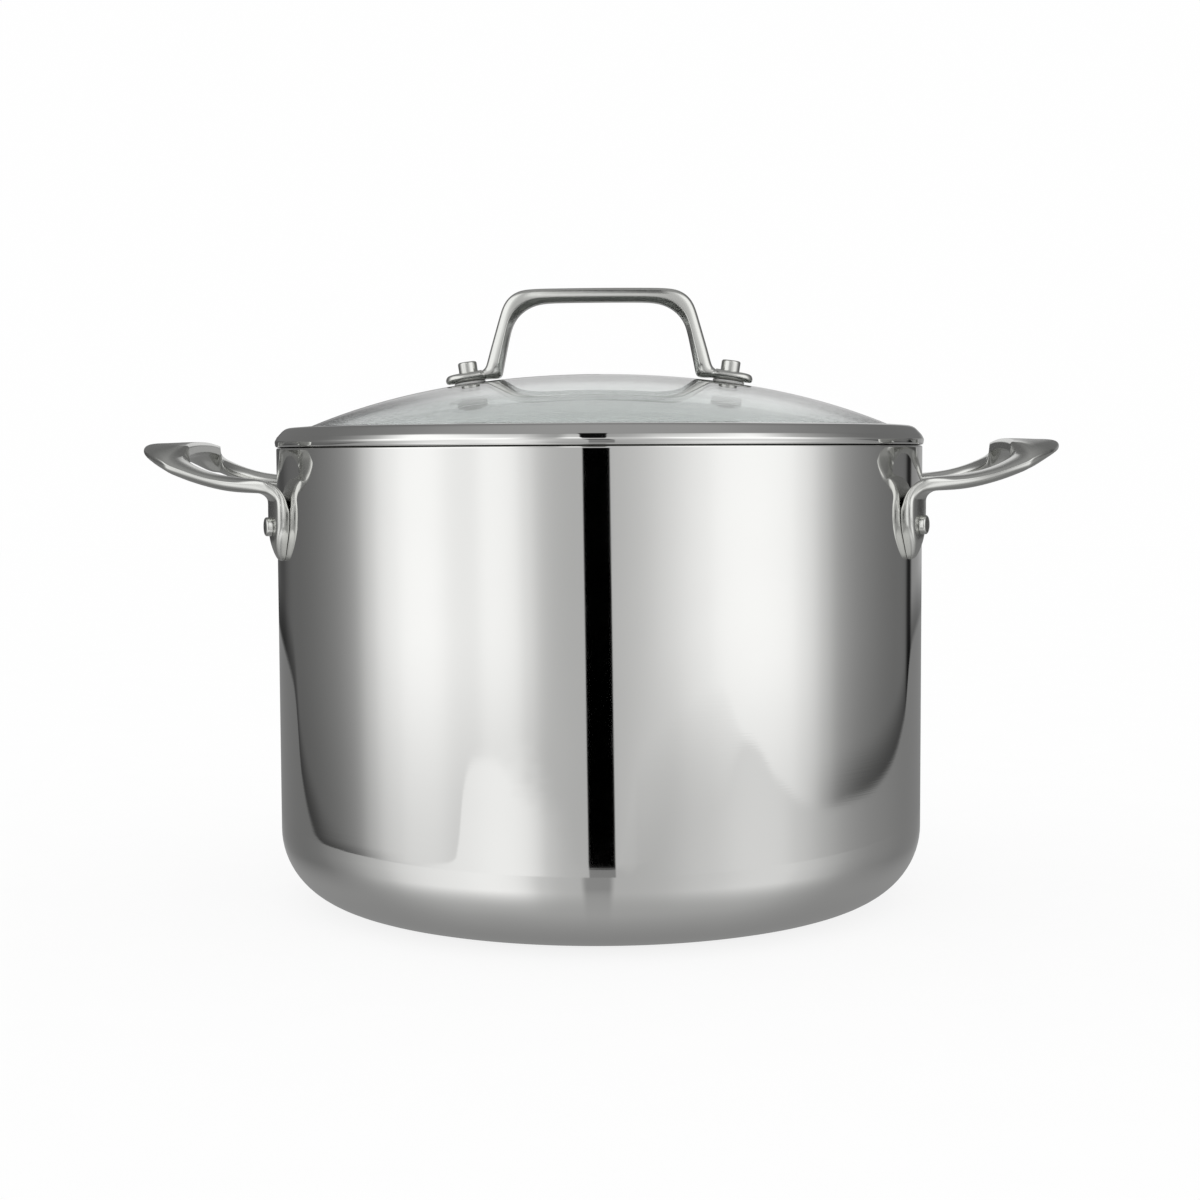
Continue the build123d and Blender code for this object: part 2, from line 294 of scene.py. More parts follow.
# ---------------------------------------------------------------- materials
class Net:
    """Short way to write a node network."""

    def __init__(self, tree):
        self.tree = tree

    def node(self, kind, **settings):
        item = self.tree.nodes.new(kind)
        for key, value in settings.items():
            setattr(item, key, value)
        return item

    def put(self, socket, value):
        if isinstance(value, bpy.types.NodeSocket):
            self.tree.links.new(value, socket)
        else:
            socket.default_value = value

    def math(self, operation, *values, clamp=False):
        item = self.node("ShaderNodeMath", operation=operation, use_clamp=clamp)
        for socket, value in zip(item.inputs, values):
            self.put(socket, value)
        return item.outputs[0]

    def times(self, *values):
        """Product of two or more values."""
        product = values[0]
        for value in values[1:]:
            product = self.math("MULTIPLY", product, value)
        return product

    def rest(self, share):
        """What a share leaves of 1."""
        return self.math("SUBTRACT", 1.0, share)

    def step(self, value, low, high):
        """Smooth step from 0 at low to 1 at high."""
        item = self.node("ShaderNodeMapRange", interpolation_type="SMOOTHSTEP")
        for socket, entry in zip(item.inputs, (value, low, high, 0.0, 1.0)):
            self.put(socket, entry)
        return item.outputs[0]

    def window(self, value, start, full, fading, end):
        """Smooth window: 0 up to start, 1 from full to fading, 0 again from end."""
        return self.times(self.step(value, start, full), self.step(value, end, fading))

    def span(self, value, low, high):
        """Value from 0..1 stretched to low..high."""
        item = self.node("ShaderNodeMapRange")
        for socket, entry in zip(item.inputs, (value, 0.0, 1.0, low, high)):
            self.put(socket, entry)
        return item.outputs[0]

    def mix(self, share, a, b):
        item = self.node("ShaderNodeMix", data_type="FLOAT")
        for socket, value in zip(item.inputs[:1] + item.inputs[2:4], (share, a, b)):
            self.put(socket, value)
        return item.outputs[0]

    def curve(self, value, points):
        item = self.node("ShaderNodeFloatCurve")
        line = item.mapping.curves[0]
        line.points[0].location = points[0]
        line.points[-1].location = points[-1]
        for x, y in points[1:-1]:
            line.points.new(x, y)
        item.mapping.update()
        self.put(item.inputs["Value"], value)
        return item.outputs[0]

    def noise(self, scale, detail=3.0, stretch=(1, 1, 1), roughness=0.5):
        place = self.node("ShaderNodeTexCoord").outputs["Object"]
        mapping = self.node("ShaderNodeMapping")
        self.put(mapping.inputs["Vector"], place)
        mapping.inputs["Scale"].default_value = stretch
        item = self.node("ShaderNodeTexNoise")
        self.put(item.inputs["Vector"], mapping.outputs[0])
        item.inputs["Scale"].default_value = scale
        item.inputs["Detail"].default_value = detail
        item.inputs["Roughness"].default_value = roughness
        return item.outputs["Fac"]

    def tint(self, share, a, b):
        item = self.node("ShaderNodeMix", data_type="RGBA")
        self.put(item.inputs[0], share)
        item.inputs[6].default_value = (*a, 1)
        item.inputs[7].default_value = (*b, 1)
        return item.outputs[2]

    def bump(self, height, strength, distance, under=None):
        item = self.node("ShaderNodeBump")
        item.inputs["Strength"].default_value = strength
        item.inputs["Distance"].default_value = distance
        self.put(item.inputs["Height"], height)
        if under is not None:
            self.put(item.inputs["Normal"], under)
        return item.outputs[0]


def new_material(name):
    made = bpy.data.materials.new(name)
    made.use_nodes = True
    return made, Net(made.node_tree), made.node_tree.nodes["Principled BSDF"].inputs


# Polished steel darkens in crevices narrower than this: painted shade, a near-black base colour.
PAINTED_SHADE_REACH = 1.4 * MM


def polished_steel():
    made, net, surface = new_material("polished_steel")
    nearby = net.node("ShaderNodeAmbientOcclusion", samples=8)
    nearby.inputs["Distance"].default_value = PAINTED_SHADE_REACH
    unshaded_and_tone = net.times(net.step(nearby.outputs["AO"], 0.2, 0.6), net.span(net.noise(26, 2), 0.95, 1.0))
    # Painted shade: ambient occlusion turns the base colour near black in narrow crevices, and a faint random
    # tone varies it elsewhere.
    net.put(surface["Base Color"], net.tint(unshaded_and_tone, (0.04, 0.04, 0.038), (0.84, 0.84, 0.825)))
    surface["Metallic"].default_value = 1.0
    net.put(surface["Roughness"], net.span(net.noise(90, 5), 0.015, 0.05))
    waves = net.bump(net.noise(14, 1), 0.05, 0.0006)
    lines = net.bump(net.noise(30, 4, (1, 1, 60)), 0.01, 0.0001, waves)
    net.put(surface["Normal"], lines)
    return made


def satin_steel():
    made, net, surface = new_material("satin_steel")
    patch = net.noise(120, 3)
    net.put(surface["Base Color"], net.tint(patch, (0.675, 0.68, 0.655), (0.735, 0.74, 0.715)))
    surface["Metallic"].default_value = 1.0
    net.put(surface["Roughness"], net.span(net.noise(300, 5), 0.14, 0.21))
    hand = net.bump(net.noise(90, 2), 0.03, 0.0003)
    net.put(surface["Normal"], net.bump(net.noise(1300, 3), 0.02, 0.00005, hand))
    return made


def inner_steel():
    made, net, surface = new_material("inner_steel")
    rings = net.noise(60, 6, (1, 1, 90), 0.6)
    net.put(surface["Base Color"], net.tint(rings, (0.50, 0.495, 0.485), (0.62, 0.615, 0.60)))
    surface["Metallic"].default_value = 1.0
    net.put(surface["Roughness"], net.span(rings, 0.18, 0.36))
    net.put(surface["Normal"], net.bump(rings, 0.10, 0.0002))
    return made


def core_aluminium():
    made, net, surface = new_material("core_aluminium")
    scratches = net.noise(900, 5, (1, 1, 6))
    net.put(surface["Base Color"], net.tint(scratches, (0.68, 0.69, 0.70), (0.80, 0.81, 0.82)))
    surface["Metallic"].default_value = 1.0
    net.put(surface["Roughness"], net.span(scratches, 0.3, 0.48))
    net.put(surface["Normal"], net.bump(scratches, 0.15, 0.0001))
    return made


def clear_glass():
    made, net, surface = new_material("lid_glass")
    haze = net.noise(30, 3)
    net.put(surface["Base Color"], net.tint(haze, (0.938, 0.972, 0.960), (0.948, 0.982, 0.970)))
    surface["Transmission Weight"].default_value = 1.0
    surface["IOR"].default_value = 1.5
    net.put(surface["Roughness"], net.span(net.noise(200, 4), 0.0, 0.008))
    net.put(surface["Normal"], net.bump(net.noise(9, 1), 0.006, 0.0004))
    return made


def gasket_silicone():
    made, net, surface = new_material("gasket_silicone")
    dust = net.noise(700, 5)
    net.put(surface["Base Color"], net.tint(dust, (0.86, 0.86, 0.84), (0.92, 0.92, 0.90)))
    surface["Transmission Weight"].default_value = 0.35
    net.put(surface["Roughness"], net.span(dust, 0.4, 0.6))
    net.put(surface["Normal"], net.bump(dust, 0.1, 0.00006))
    return made


def floor_finish():
    made, net, surface = new_material("floor")
    speck = net.noise(35, 5)
    net.put(surface["Base Color"], net.tint(speck, (0.145, 0.145, 0.145), (0.155, 0.155, 0.155)))
    surface["Roughness"].default_value = 0.7
    surface["Specular IOR Level"].default_value = 0.0
    surface["Emission Color"].default_value = (1, 1, 1, 1)
    surface["Emission Strength"].default_value = 0.845
    return made


FINISHES = {
    "polished_steel": polished_steel(),
    "satin_steel": satin_steel(),
    "inner_steel": inner_steel(),
    "core_aluminium": core_aluminium(),
    "lid_glass": clear_glass(),
    "gasket_silicone": gasket_silicone(),
}


def stand_for(piece, node, body, slot):
    """Give a piece its finish and its body, and let it stand for its CAD node."""
    piece.data.materials.clear()
    piece.data.materials.append(FINISHES[slot])
    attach(piece, body)
    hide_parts(node)


# ---------------------------------------------------------------- pot
def beside(angle, height):
    """Frame at the pot's axis whose +Z points out at an angle, at a height over the rim."""
    return Matrix.Translation(mm(0, 0, height)) @ Matrix.Rotation(math.radians(angle), 4, "Z") \
        @ Matrix.Rotation(math.pi / 2, 4, "Y")


def rivet_angles():
    angles = {}
    for end, sign in ENDS.items():
        angles[f"right_{end}"] = FOOT_ANGLE * sign
        angles[f"left_{end}"] = 180 - FOOT_ANGLE * sign
    return angles


def sheet_outline(outer, low, sheet, edge, inner_edge):
    """Section of one bonded sheet of the pot, from the middle of its base up to the rim and back."""
    corner = POT_CORNER - low
    foot = outer - corner
    inner = outer - sheet
    top = RIM_Z - edge
    near_top = [top - 0.6 * MM, top - 0.2 * MM]
    base = [foot * row / BASE_ROWS for row in range(BASE_ROWS)]
    wall = [low + corner + (top - low - corner) * row / WALL_ROWS for row in range(1, WALL_ROWS)]
    outline = [(radius, low) for radius in base]
    outline += arc((foot, low + corner), corner, -90, 0, CORNER_ROWS)
    outline += [(outer, height) for height in wall]
    outline += [(outer, height) for height in near_top + [top]]
    outline += arc((outer - edge, top), edge, 0, 90, 4)[1:]
    outline += arc((inner + inner_edge, RIM_Z - inner_edge), inner_edge, 90, 180, 4)
    outline += [(inner, height) for height in reversed(near_top)]
    outline += [(inner, height) for height in reversed(wall)]
    outline += arc((foot, low + corner), corner - sheet, 0, -90, CORNER_ROWS)
    outline += [(radius, low + sheet) for radius in reversed(base)]
    return outline


def pot_sheet(node, outer, low, sheet, slot, edge=RIM_ROUND_PLAIN, inner_edge=RIM_ROUND_PLAIN):
    piece = lathe(node + "_surface", sheet_outline(outer, low, sheet, edge, inner_edge))
    bore(piece, [rod(beside(angle, SIDE_RIVET_Z), SIDE_RIVET_SHANK / 2 * MM, *WALL_BORE)
                 for angle in rivet_angles().values()])
    stand_for(piece, node, "pot", slot)


def make_pot():
    outer_sheet = CORE_LOW.z
    core_sheet = INNER_LOW.z - CORE_LOW.z
    pot_sheet("pot_outer_skin", POT_R, 0.0, outer_sheet, "polished_steel",
              edge=RIM_ROUND_OUTSIDE, inner_edge=RIM_ROUND_SEAM)
    pot_sheet("pot_core", CORE_HIGH.x, CORE_LOW.z, core_sheet, "core_aluminium")
    pot_sheet("pot_inner_skin", INNER_HIGH.x, INNER_LOW.z, BASE_SHEET - INNER_LOW.z, "inner_steel",
              inner_edge=RIM_ROUND_INSIDE)


# ---------------------------------------------------------------- rivets, washers, gaskets
def headed_pin(name, place, low, high, shank, low_head, high_head):
    """Turned pin: each head is (diameter, height, edge round), in mm."""
    def half(head, end, sign):
        size, tall, edge = head
        seat = end - sign * tall
        if sign > 0:
            rim = arc((size / 2 - edge, end - edge), edge, 0, 90, 6)
            return [(shank / 2, seat), (size / 2, seat)] + rim + [(size / 4, end + 0.02), (0, end + 0.03)]
        rim = arc((size / 2 - edge, end + edge), edge, -90, 0, 6)
        return [(0, end - 0.03), (size / 4, end - 0.02)] + rim + [(size / 2, seat), (shank / 2, seat)]
    outline = half(low_head, low, -1) + half(high_head, high, 1)
    return lathe(name, [(r * MM, z * MM) for r, z in outline], place, PIN_STEPS)


def washer_ring(name, place, low, high, edge):
    outline = arc((WASHER_SIZE / 2 - edge, low + edge), edge, -90, 0, 4)
    outline += arc((WASHER_SIZE / 2 - edge, high - edge), edge, 0, 90, 4)
    outline += [(LID_RIVET_SHANK / 2, high), (LID_RIVET_SHANK / 2, low)]
    return lathe(name, [(r * MM, z * MM) for r, z in outline], place, RING_STEPS)


def make_side_rivets():
    for where, angle in rivet_angles().items():
        node = f"side_rivet_{where}"
        piece = headed_pin(node + "_turned", beside(angle, SIDE_RIVET_Z),
                           WALL_INSIDE - SIDE_INNER_REACH, FOOT_FACE + SIDE_OUTER_HEAD[1],
                           SIDE_RIVET_SHANK, SIDE_INNER_HEAD, SIDE_OUTER_HEAD)
        stand_for(piece, node, "pot", "satin_steel")


def dome_z(radius):
    share = radius / 100
    return DOME_TOP - DOME_SQUARE * share ** 2 - DOME_QUARTIC * share ** 4


def dome_fall(radius):
    """Fall of the glass, as an angle in radians, at a radius in mm."""
    share = radius / 100
    return math.atan((2 * DOME_SQUARE * share + 4 * DOME_QUARTIC * share ** 3) / 100)


def on_glass(side):
    """Frame on the glass under one foot of the lid handle, square to the glass."""
    place = Matrix.Translation(mm(side * LID_FASTENER_X, 0, dome_z(LID_FASTENER_X)))
    return place @ Matrix.Rotation(side * dome_fall(LID_FASTENER_X), 4, "Y")


def make_lid_fasteners():
    under_glass = -LOWER_STACK
    under_gasket = under_glass - LOWER_GASKET
    under_washer = under_gasket - WASHER
    rings = [
        ("upper_gasket", 0.0, UPPER_GASKET, GASKET_ROUND, "gasket_silicone"),
        ("lower_gasket", under_gasket, under_glass, GASKET_ROUND, "gasket_silicone"),
        ("lid_washer", under_washer, under_gasket, WASHER_ROUND, "satin_steel"),
    ]
    for name, side in SIDES.items():
        place = on_glass(side)
        for node, low, high, edge, slot in rings:
            ring = washer_ring(f"{node}_ring_{name}", place, low, high, edge)
            stand_for(ring, f"{node}_{name}", "lid", slot)
        pin = headed_pin(f"lid_rivet_turned_{name}", place, under_washer - LID_LOWER_HEAD[1], LID_RIVET_TOP,
                         LID_RIVET_SHANK, LID_LOWER_HEAD, LID_UPPER_HEAD)
        stand_for(pin, f"lid_rivet_{name}", "lid", "satin_steel")


# ---------------------------------------------------------------- lid
def make_glass():
    rim = GLASS_R / MM
    radii = [(rim - GLASS_EDGE) * row / GLASS_ROWS for row in range(GLASS_ROWS + 1)]
    outline = [(r, dome_z(r)) for r in radii]
    outline += [(rim, dome_z(rim) - GLASS_EDGE), (rim, dome_z(rim) - GLASS_SHEET + GLASS_EDGE)]
    outline += [(r, dome_z(r) - GLASS_SHEET) for r in reversed(radii)]
    piece = lathe("lid_glass_dome", [(r * MM, RIM_Z + z * MM) for r, z in outline])
    bore(piece, [rod(on_glass(side), GLASS_BORE / 2 * MM, *GLASS_HOLE_SPAN) for side in SIDES.values()])
    stand_for(piece, "lid_glass", "lid", "lid_glass")


def make_band():
    line = rounded_line(BAND_LINE, 10)
    outline = thicken(line, BAND_SHEET)
    piece = lathe("lid_rim_band_rolled", [(r * MM, RIM_Z + z * MM) for r, z in outline])
    stand_for(piece, "lid_rim_band", "lid", "polished_steel")


# ---------------------------------------------------------------- lid handle
GRIP_SECTION = [
    (-0.95, 0.30), (-0.79, 0.05), (-0.42, 0.0), (0.42, 0.0), (0.79, 0.05), (0.95, 0.30),
    (1.00, 0.68), (0.66, 0.94), (0.34, 1.00), (-0.34, 1.00), (-0.66, 0.94), (-1.00, 0.68),
]
GRIP_STATIONS = [
    # outer point (x, z), inner point (x, z), half width
    ((6.0, 60.5), (6.0, 55.05), 5.9),
    ((15.0, 60.45), (13.0, 55.0), 5.9),
    ((24.8, 60.35), (20.4, 54.9), 5.9),
    ((30.1, 59.8), (25.4, 53.8), 5.9),
    ((33.9, 57.6), (29.6, 51.2), 5.9),
    ((36.2, 54.5), (32.4, 47.7), 5.9),
    ((37.5, 50.9), (33.8, 43.6), 5.9),
    ((39.5, 43.8), (35.0, 37.6), 5.9),
    ((41.4, 37.4), (36.2, 31.8), 6.0),
    ((42.6, 32.7), (36.8, 28.4), 6.1),
    ((43.3, 30.5), (37.4, 26.3), 6.2),
    ((44.1, 29.85), (41.2, 26.2), 6.2),
    ((44.5, 29.4), (42.5, 26.15), 6.15),
    ((44.8, 29.75), (43.4, 26.1), 6.5),
    ((49.4, 29.0), (48.9, 25.2), 6.5),
    ((53.0, 28.4), (52.8, 24.7), 6.3),
    ((55.8, 27.9), (55.6, 24.3), 5.4),
    ((57.7, 27.3), (57.6, 24.0), 3.9),
    ((58.6, 26.4), (58.6, 24.3), 1.9),
]
# Creases: stations from the middle of the bar, places around the section, sharpness.
GRIP_CREASES = [
    ((0, 9), (6, 6), 0.6), ((0, 9), (11, 11), 0.6), ((0, 9), (8, 8), 0.3), ((0, 9), (9, 9), 0.3),
    ((12, 12), (0, 5), 0.9), ((12, 12), (11, 11), 0.9), ((11, 11), (0, 5), 0.5), ((13, 13), (0, 5), 0.5),
]


def grip_ring(outer, inner, half_width, side):
    ring = []
    for across, depth in GRIP_SECTION:
        x = outer[0] + (inner[0] - outer[0]) * depth
        z = outer[1] + (inner[1] - outer[1]) * depth
        ring.append(mm(side * x, across * half_width, z))
    return ring


def make_lid_handle():
    rings = [grip_ring(*station, -1) for station in reversed(GRIP_STATIONS)]
    rings += [grip_ring(*station, 1) for station in GRIP_STATIONS]
    piece = loft("lid_handle_cast", rings, 3, GRIP_CREASES)
    bore(piece, [rod(on_glass(side), LID_RIVET_SHANK / 2 * MM, *GRIP_BORE) for side in SIDES.values()],
         CAST_SMOOTH_ANGLE)
    stand_for(piece, "lid_handle", "lid", "satin_steel")


# ---------------------------------------------------------------- side handles
# Twelve points around each section: six along the top (or the back of a foot), from the finger
# gap outwards, then six back along the underside (or the front of a foot).
PLATE_ACROSS = [0.0, 0.07, 0.33, 0.60, 0.86, 1.0, 0.985, 0.86, 0.60, 0.30, 0.09, 0.0]
ARM_ACROSS = [0.0, 0.16, 0.36, 0.62, 0.88, 1.0, 0.98, 0.84, 0.62, 0.35, 0.10, 0.0]
PLATE_STATIONS = [
    # inner (x, y), outer (x, y), heights of the twelve points over the rim
    ((152.4, 4), (173.5, 4.5), (1.4, 2.7, 2.6, 2.3, 2.3, 1.3, -1.6, -2.5, -3.0, -3.0, -1.1, -1.2)),
    ((152.4, 11), (173.0, 13), (1.3, 2.6, 2.5, 2.2, 2.2, 1.1, -1.8, -2.7, -3.2, -3.3, -1.3, -1.4)),
    ((152.4, 17), (171.2, 22), (1.1, 2.3, 2.3, 2.0, 1.8, 0.4, -2.2, -3.0, -4.6, -6.0, -1.6, -1.7)),
    ((152.4, 21.5), (168.0, 31), (0.8, 1.9, 1.9, 1.5, 0.8, -0.9, -3.3, -4.3, -6.8, -8.2, -2.0, -2.1)),
    ((152.4, 24.5), (163.2, 40), (0.5, 1.5, 1.6, 0.9, -0.5, -2.5, -5.1, -6.3, -8.8, -10.0, -2.3, -2.4)),
    ((152.4, 26.2), (157.8, 45.2), (0.3, 1.2, 1.0, -0.6, -2.6, -4.8, -7.2, -8.5, -9.3, -9.6, -2.6, -2.7)),
]
ARM_STATIONS = [
    ((152.0, 26.8), (156.6, 46.0), (-5.4, -3.6, -3.0, -3.1, -4.1, -5.8, -8.0, -9.3, -9.8, -9.9, -9.4, -7.6)),
    ((149.6, 30.6), (150.6, 47.0),
     (-8.0, -5.7, -5.2, -5.5, -6.6, -7.9, -9.6, -11.1, -11.7, -11.7, -11.3, -9.8)),
    ((145.2, 34.2), (145.4, 47.3),
     (-10.0, -7.7, -7.3, -7.8, -8.6, -9.7, -11.3, -12.7, -13.2, -13.2, -12.8, -11.6)),
    ((138.8, 36.7), (138.4, 47.5),
     (-11.8, -9.8, -9.4, -9.8, -10.6, -11.7, -13.1, -14.5, -15.0, -15.0, -14.6, -13.2)),
    ((132.4, 37.8), (130.0, 50.2),
     (-12.2, -10.7, -10.4, -10.7, -11.5, -12.7, -14.2, -15.7, -16.2, -16.1, -15.7, -14.2)),
]
# Bends and feet: each point's share of the thickness from back to front, and of the half width.
THROUGH = [0.14, 0.0, -0.02, 0.0, 0.0, 0.34, 0.78, 1.0, 1.0, 1.0, 1.0, 0.72]
SPREAD = [-1.0, -0.88, -0.35, 0.35, 0.96, 1.0, 1.0, 0.84, 0.35, -0.35, -0.84, -1.0]
BEND_CENTRE = (132.5, -20.9)
BEND_BACK = 9.8
BEND_FRONT_CENTRE = (131.2, -20.8)
BEND_FRONT = 4.5
BEND_STATIONS = [
    # angle up the bend, middle angle around the pot, half of the angle that the arm spans
    (90.0, 20.7, 3.75), (67.5, 21.2, 3.85), (45.0, 21.7, 4.0), (22.5, 22.1, 4.15),
]
FOOT_GAP = 0.05
FOOT_STATIONS = [
    # height, half width, thickness
    (-20.9, 9.6, 4.65), (-24.5, 9.7, 4.65), (-28.0, 9.4, 4.65), (-31.5, 8.1, 4.6),
    (-35.0, 5.9, 4.2), (-38.2, 3.8, 3.3), (-40.4, 2.3, 2.3), (-41.0, 1.1, 1.5),
]
# Creases: stations from the middle of the plate, places around the section, sharpness.
HANDLE_CREASES = [
    ((0, 5), (0, 0), 0.5), ((0, 5), (1, 1), 0.4), ((0, 5), (11, 11), 0.9), ((0, 5), (10, 10), 0.7),
    ((5, 5), (0, 2), 0.9), ((5, 5), (10, 11), 0.9), ((6, 6), (0, 2), 0.5),
    ((3, 14), (5, 5), 0.55), ((6, 16), (3, 3), 0.25), ((15, 22), (4, 4), 0.5),
]


def around(radius, angle, z):
    turn = math.radians(angle)
    return radius * math.cos(turn), radius * math.sin(turn), z


def plate_and_arm_rings():
    rings = []
    for stations, shares in ((PLATE_STATIONS, PLATE_ACROSS), (ARM_STATIONS, ARM_ACROSS)):
        for inner, outer, heights in stations:
            rings.append([(inner[0] + (outer[0] - inner[0]) * share,
                           inner[1] + (outer[1] - inner[1]) * share, z) for share, z in zip(shares, heights)])
    return rings


def bend_rings():
    rings = []
    for turn, middle, half in BEND_STATIONS:
        angle = math.radians(turn)
        back = (BEND_CENTRE[0] - BEND_BACK * math.cos(angle), BEND_CENTRE[1] + BEND_BACK * math.sin(angle))
        front = (BEND_FRONT_CENTRE[0] - BEND_FRONT * math.cos(angle),
                 BEND_FRONT_CENTRE[1] + BEND_FRONT * math.sin(angle))
        ring = []
        for across, depth in zip(SPREAD, THROUGH):
            radius = back[0] + (front[0] - back[0]) * depth
            z = back[1] + (front[1] - back[1]) * depth
            ring.append(around(radius, middle + half * across, z))
        rings.append(ring)
    return rings


def foot_rings():
    rings = []
    for z, half, sheet in FOOT_STATIONS:
        ring = []
        for across, depth in zip(SPREAD, THROUGH):
            radius = WALL_FACE + FOOT_GAP + sheet * max(depth, 0.0)
            ring.append(around(radius, FOOT_ANGLE + math.degrees(across * half / radius), z))
        rings.append(ring)
    return rings


def make_side_handles():
    # Half of a handle, in mm, from beside the middle of the thumb plate to a foot's tip.
    half = plate_and_arm_rings() + bend_rings() + foot_rings()
    for name, side in SIDES.items():
        far = [[mm(side * x, y, z) for x, y, z in ring] for ring in half]
        near = [[mm(side * x, -y, z) for x, y, z in ring] for ring in half]
        rings = near[::-1] + far
        piece = loft(f"side_handle_{name}_cast", rings, 3, HANDLE_CREASES)
        bore(piece, [rod(beside(rivet_angles()[f"{name}_{end}"], SIDE_RIVET_Z),
                         SIDE_RIVET_SHANK / 2 * MM, *FOOT_BORE) for end in ENDS],
             CAST_SMOOTH_ANGLE)
        stand_for(piece, f"side_handle_{name}", "pot", "satin_steel")


make_pot()
make_side_rivets()
make_side_handles()
make_glass()
make_band()
make_lid_handle()
make_lid_fasteners()


# ---------------------------------------------------------------- camera
CAMERA_DISTANCE = 0.8001
CAMERA_AZIMUTH = math.radians(2.35)
CAMERA_BELOW_RIM = 0.00326
CAMERA_PITCH = 0.0693
CAMERA_ROLL = -0.0046
CAMERA_LENS = 62.4
SENSOR = 36.0


def make_camera():
    data = bpy.data.cameras.new("camera")
    data.lens = CAMERA_LENS
    data.sensor_width = SENSOR
    data.clip_start = 0.05
    data.clip_end = 20.0
    camera = bpy.data.objects.new("camera", data)
    bpy.context.scene.collection.objects.link(camera)
    turn = Matrix.Rotation(CAMERA_AZIMUTH, 4, "Z")
    place = Matrix.Translation((0, -CAMERA_DISTANCE, RIM_Z - CAMERA_BELOW_RIM))
    tilt = Matrix.Rotation(math.pi / 2 - CAMERA_PITCH, 4, "X")
    roll = Matrix.Rotation(CAMERA_ROLL, 4, "Z")
    camera.matrix_world = turn @ place @ tilt @ roll
    bpy.context.scene.camera = camera


# ---------------------------------------------------------------- floor and studio
FLOOR_SIZE = 3.0
FLOOR_DROP = 0.0004


def make_floor():
    corners = [(-FLOOR_SIZE, -FLOOR_SIZE, 0), (FLOOR_SIZE, -FLOOR_SIZE, 0),
               (FLOOR_SIZE, FLOOR_SIZE, 0), (-FLOOR_SIZE, FLOOR_SIZE, 0)]
    floor = new_object("floor", corners, [(0, 1, 2, 3)])
    floor.location.z = -FLOOR_DROP
    floor.data.materials.append(floor_finish())
    floor.visible_glossy = False


# What the steel mirrors, by compass angle from the front of the pot (negative to the left) and by
# the grey that it shows in polished steel, from 0 to 1: soft boxes, card and the gap between them.
STUDIO = [
    (-180, 0.34), (-162, 0.31), (-152, 0.27), (-146, 0.31), (-138, 0.36), (-129, 0.375), (-113, 0.43),
    (-99, 0.53), (-86, 0.77), (-75, 0.915), (-63, 0.965), (-46, 0.905), (-37, 0.945), (-25, 0.84),
    (-9, 0.665), (0, 0.68), (10, 0.72), (22, 0.81), (35, 0.905), (49, 0.965), (62, 0.955), (72, 0.89),
    (83, 0.725), (94, 0.55), (108, 0.455), (124, 0.40), (132, 0.39), (136, 0.33), (139.5, 0.13),
    (142.5, 0.49), (151, 0.53), (161, 0.60), (180, 0.64),
]
TABLE = [
    (-180, 0.55), (-140, 0.42), (-122, 0.42), (-107, 0.48), (-81, 0.68), (-60, 0.86), (-48, 0.89),
    (-34, 0.915), (-18, 0.74), (-8, 0.67), (8, 0.66), (34, 0.75), (56, 0.81), (70, 0.75), (83, 0.65),
    (100, 0.53), (116, 0.48), (140, 0.45), (180, 0.55),
]
# Where the table's far edge shows, in degrees below the horizon.
TABLE_EDGE = [
    (-180, 4.0), (-140, 6.0), (-132, 8.6), (-122, 10.2), (-107, 11.5), (-90, 11.9), (-58, 11.9),
    (-51, 10.6), (-44, 8.3), (-30, 8.6), (-13, 10.2), (-6, 11.9), (6, 11.9), (12, 10.0), (35, 8.2),
    (48, 7.8), (62, 8.9), (77, 9.6), (95, 9.4), (115, 8.8), (134, 7.2), (145, 5.0), (180, 4.0),
]
EDGE_DEPTH = 15.0
STEEL_GREY = 0.82
PLAIN_WHITE = 0.995

# Dark gap between the soft boxes in front of the pot: its sides, soft edge, lean and top.
GAP_LEFT = -5.8
GAP_RIGHT = 3.6
GAP_EDGE = 0.5
GAP_LEAN = 0.12
GAP_LEAN_FLOOR = -16.0
GAP_TOP = (4.0, 0.5)

# Each HEIGHT or SIDES pair says where a part of the studio starts to show and where it shows in
# full: degrees over the horizon, or degrees to either side of the front.
BEHIND_SIDES = (95.0, 125.0)
FRONT_BOX_HEIGHT = (14.0, 28.0)
FRONT_BOX_SIDES = (14.0, 7.0)
FRONT_BOX_SPLIT = (-2.5, 0.5)
FRONT_BOX_GREYS = (1.0, 0.74)
DIM_HEIGHT = (-4.5, -11.5)
DIM_SIDES = (26.0, 12.0)
DIM_GREY = 0.86
SEAM_ABOVE_EDGE = (1.6, 0.0)
SEAM_SIDES = (70.0, 110.0)
SEAM_DEPTH = 0.32
GLOW_HEIGHT = (3.0, 14.0)
GLOW_SIDES = (18.0, 36.0)
GLOW = 1.12

# Table: the two arches of its far edge (start, full, fading, end), how soft the edge is in
# degrees, the ripples of the left arch, and the part that steel which faces down mirrors.
LEFT_ARCH = (-37.0, -30.0, -12.0, -6.0)
RIGHT_ARCH = (3.0, 9.0, 40.0, 50.0)
EDGE_BLUR = 0.3
LEFT_ARCH_BLUR = 1.6
RIGHT_ARCH_BLUR = 3.4
RIPPLE_HEIGHT = 3.0
RIPPLES_PER_TURN = 0.1
RIPPLES_PER_TILT = 6.0
TABLE_HEIGHT = (-12.5, -22.0)
NEAR_CONTRAST = 1.3
NEAR_LEAST_GREY = 0.62
UNDER_HEIGHT = (-28.0, -64.0)
UNDER_GREY = 0.46
STREAK_HEIGHT = (-27.0, -20.0)
STREAK_GREY = 0.72

